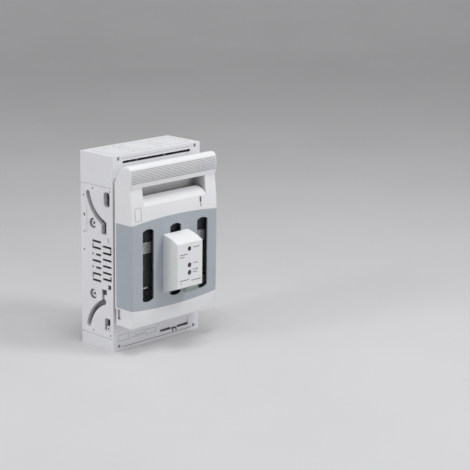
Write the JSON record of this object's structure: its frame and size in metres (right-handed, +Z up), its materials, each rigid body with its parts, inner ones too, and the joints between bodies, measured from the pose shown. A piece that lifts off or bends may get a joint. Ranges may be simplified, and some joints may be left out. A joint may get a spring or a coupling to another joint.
{
  "type": "fuse switch disconnector",
  "caption": "Upright multi-pole fuse switch disconnector: ribbed pull handle on a forward-swinging lid, arched windows, fuse monitor box, terminal covers.",
  "frame": {"origin": "centre of the four rear mounting holes, on the rear face", "axes": "+X to the right seen from the front, +Y to the rear, +Z up towards the handle"},
  "size_m": [0.184, 0.1481, 0.306],
  "materials": {
    "housing_light": "satin",
    "panel_grey": "satin",
    "carrier_dark": "matte",
    "monitor_light": "satin",
    "window_clear": "clear",
    "contact_silver": "silver plated",
    "steel": "zinc plated",
    "fuse_ceramic": "matt",
    "board_green": "solder mask",
    "lamp_red": "gloss",
    "lamp_green": "gloss",
    "plug_green": "satin",
    "button_black": "matte"
  },
  "bodies": {
    "base": {"base_housing": "housing_light", "top_terminal_cover": "housing_light", "bottom_terminal_cover": "housing_light", "cover_screws": "steel", "contact_jaw_top_1": "contact_silver", "contact_jaw_top_2": "contact_silver", "contact_jaw_top_3": "contact_silver", "contact_jaw_bottom_1": "contact_silver", "contact_jaw_bottom_2": "contact_silver", "contact_jaw_bottom_3": "contact_silver", "jaw_spring_top_1": "steel", "jaw_spring_top_2": "steel", "jaw_spring_top_3": "steel", "jaw_spring_bottom_1": "steel", "jaw_spring_bottom_2": "steel", "jaw_spring_bottom_3": "steel", "terminal_bar_top_1": "contact_silver", "terminal_bar_top_2": "contact_silver", "terminal_bar_top_3": "contact_silver", "terminal_bar_bottom_1": "contact_silver", "terminal_bar_bottom_2": "contact_silver", "terminal_bar_bottom_3": "contact_silver", "splitter_plates_top_1": "steel", "splitter_plates_top_2": "steel", "splitter_plates_top_3": "steel", "splitter_plates_bottom_1": "steel", "splitter_plates_bottom_2": "steel", "splitter_plates_bottom_3": "steel", "contact_rivets": "steel", "terminal_bolts": "steel", "terminal_nuts": "steel"},
    "lid": {"lid_frame": "housing_light", "lid_panel": "panel_grey", "fuse_carrier": "carrier_dark", "hinge_pins": "steel", "fuse_body_1": "fuse_ceramic", "fuse_end_plates_1": "contact_silver", "fuse_blades_1": "contact_silver", "fuse_body_2": "fuse_ceramic", "fuse_end_plates_2": "contact_silver", "fuse_blades_2": "contact_silver", "fuse_body_3": "fuse_ceramic", "fuse_end_plates_3": "contact_silver", "fuse_blades_3": "contact_silver", "monitor_cover": "monitor_light", "monitor_back": "monitor_light", "monitor_board": "board_green", "led_red": "lamp_red", "led_green": "lamp_green", "plug_socket": "plug_green", "terminal_plug": "plug_green", "plug_screws": "steel"},
    "window_1": {"window_1": "window_clear"},
    "window_2": {"window_2": "window_clear"},
    "window_3": {"window_3": "window_clear"},
    "test_button": {"test_button": "button_black"}
  },
  "joints": [
    {"name": "lid_hinge", "type": "hinge", "parent": "base", "child": "lid", "pos_m": [0, -0.0823, -0.088], "axis": [1, 0, 0], "range_deg": [0, 70]},
    {"name": "window_1_slide", "type": "slide", "parent": "lid", "child": "window_1", "axis": [0, 0, 1], "range_m": [0, 0.008]},
    {"name": "window_2_slide", "type": "slide", "parent": "lid", "child": "window_2", "axis": [0, 0, 1], "range_m": [0, 0.008]},
    {"name": "window_3_slide", "type": "slide", "parent": "lid", "child": "window_3", "axis": [0, 0, 1], "range_m": [0, 0.008]},
    {"name": "test_button_press", "type": "slide", "parent": "lid", "child": "test_button", "axis": [0, 1, 0], "range_m": [0, 0.001], "stiffness_N_per_m": 300, "springref_m": -0.002}
  ]
}
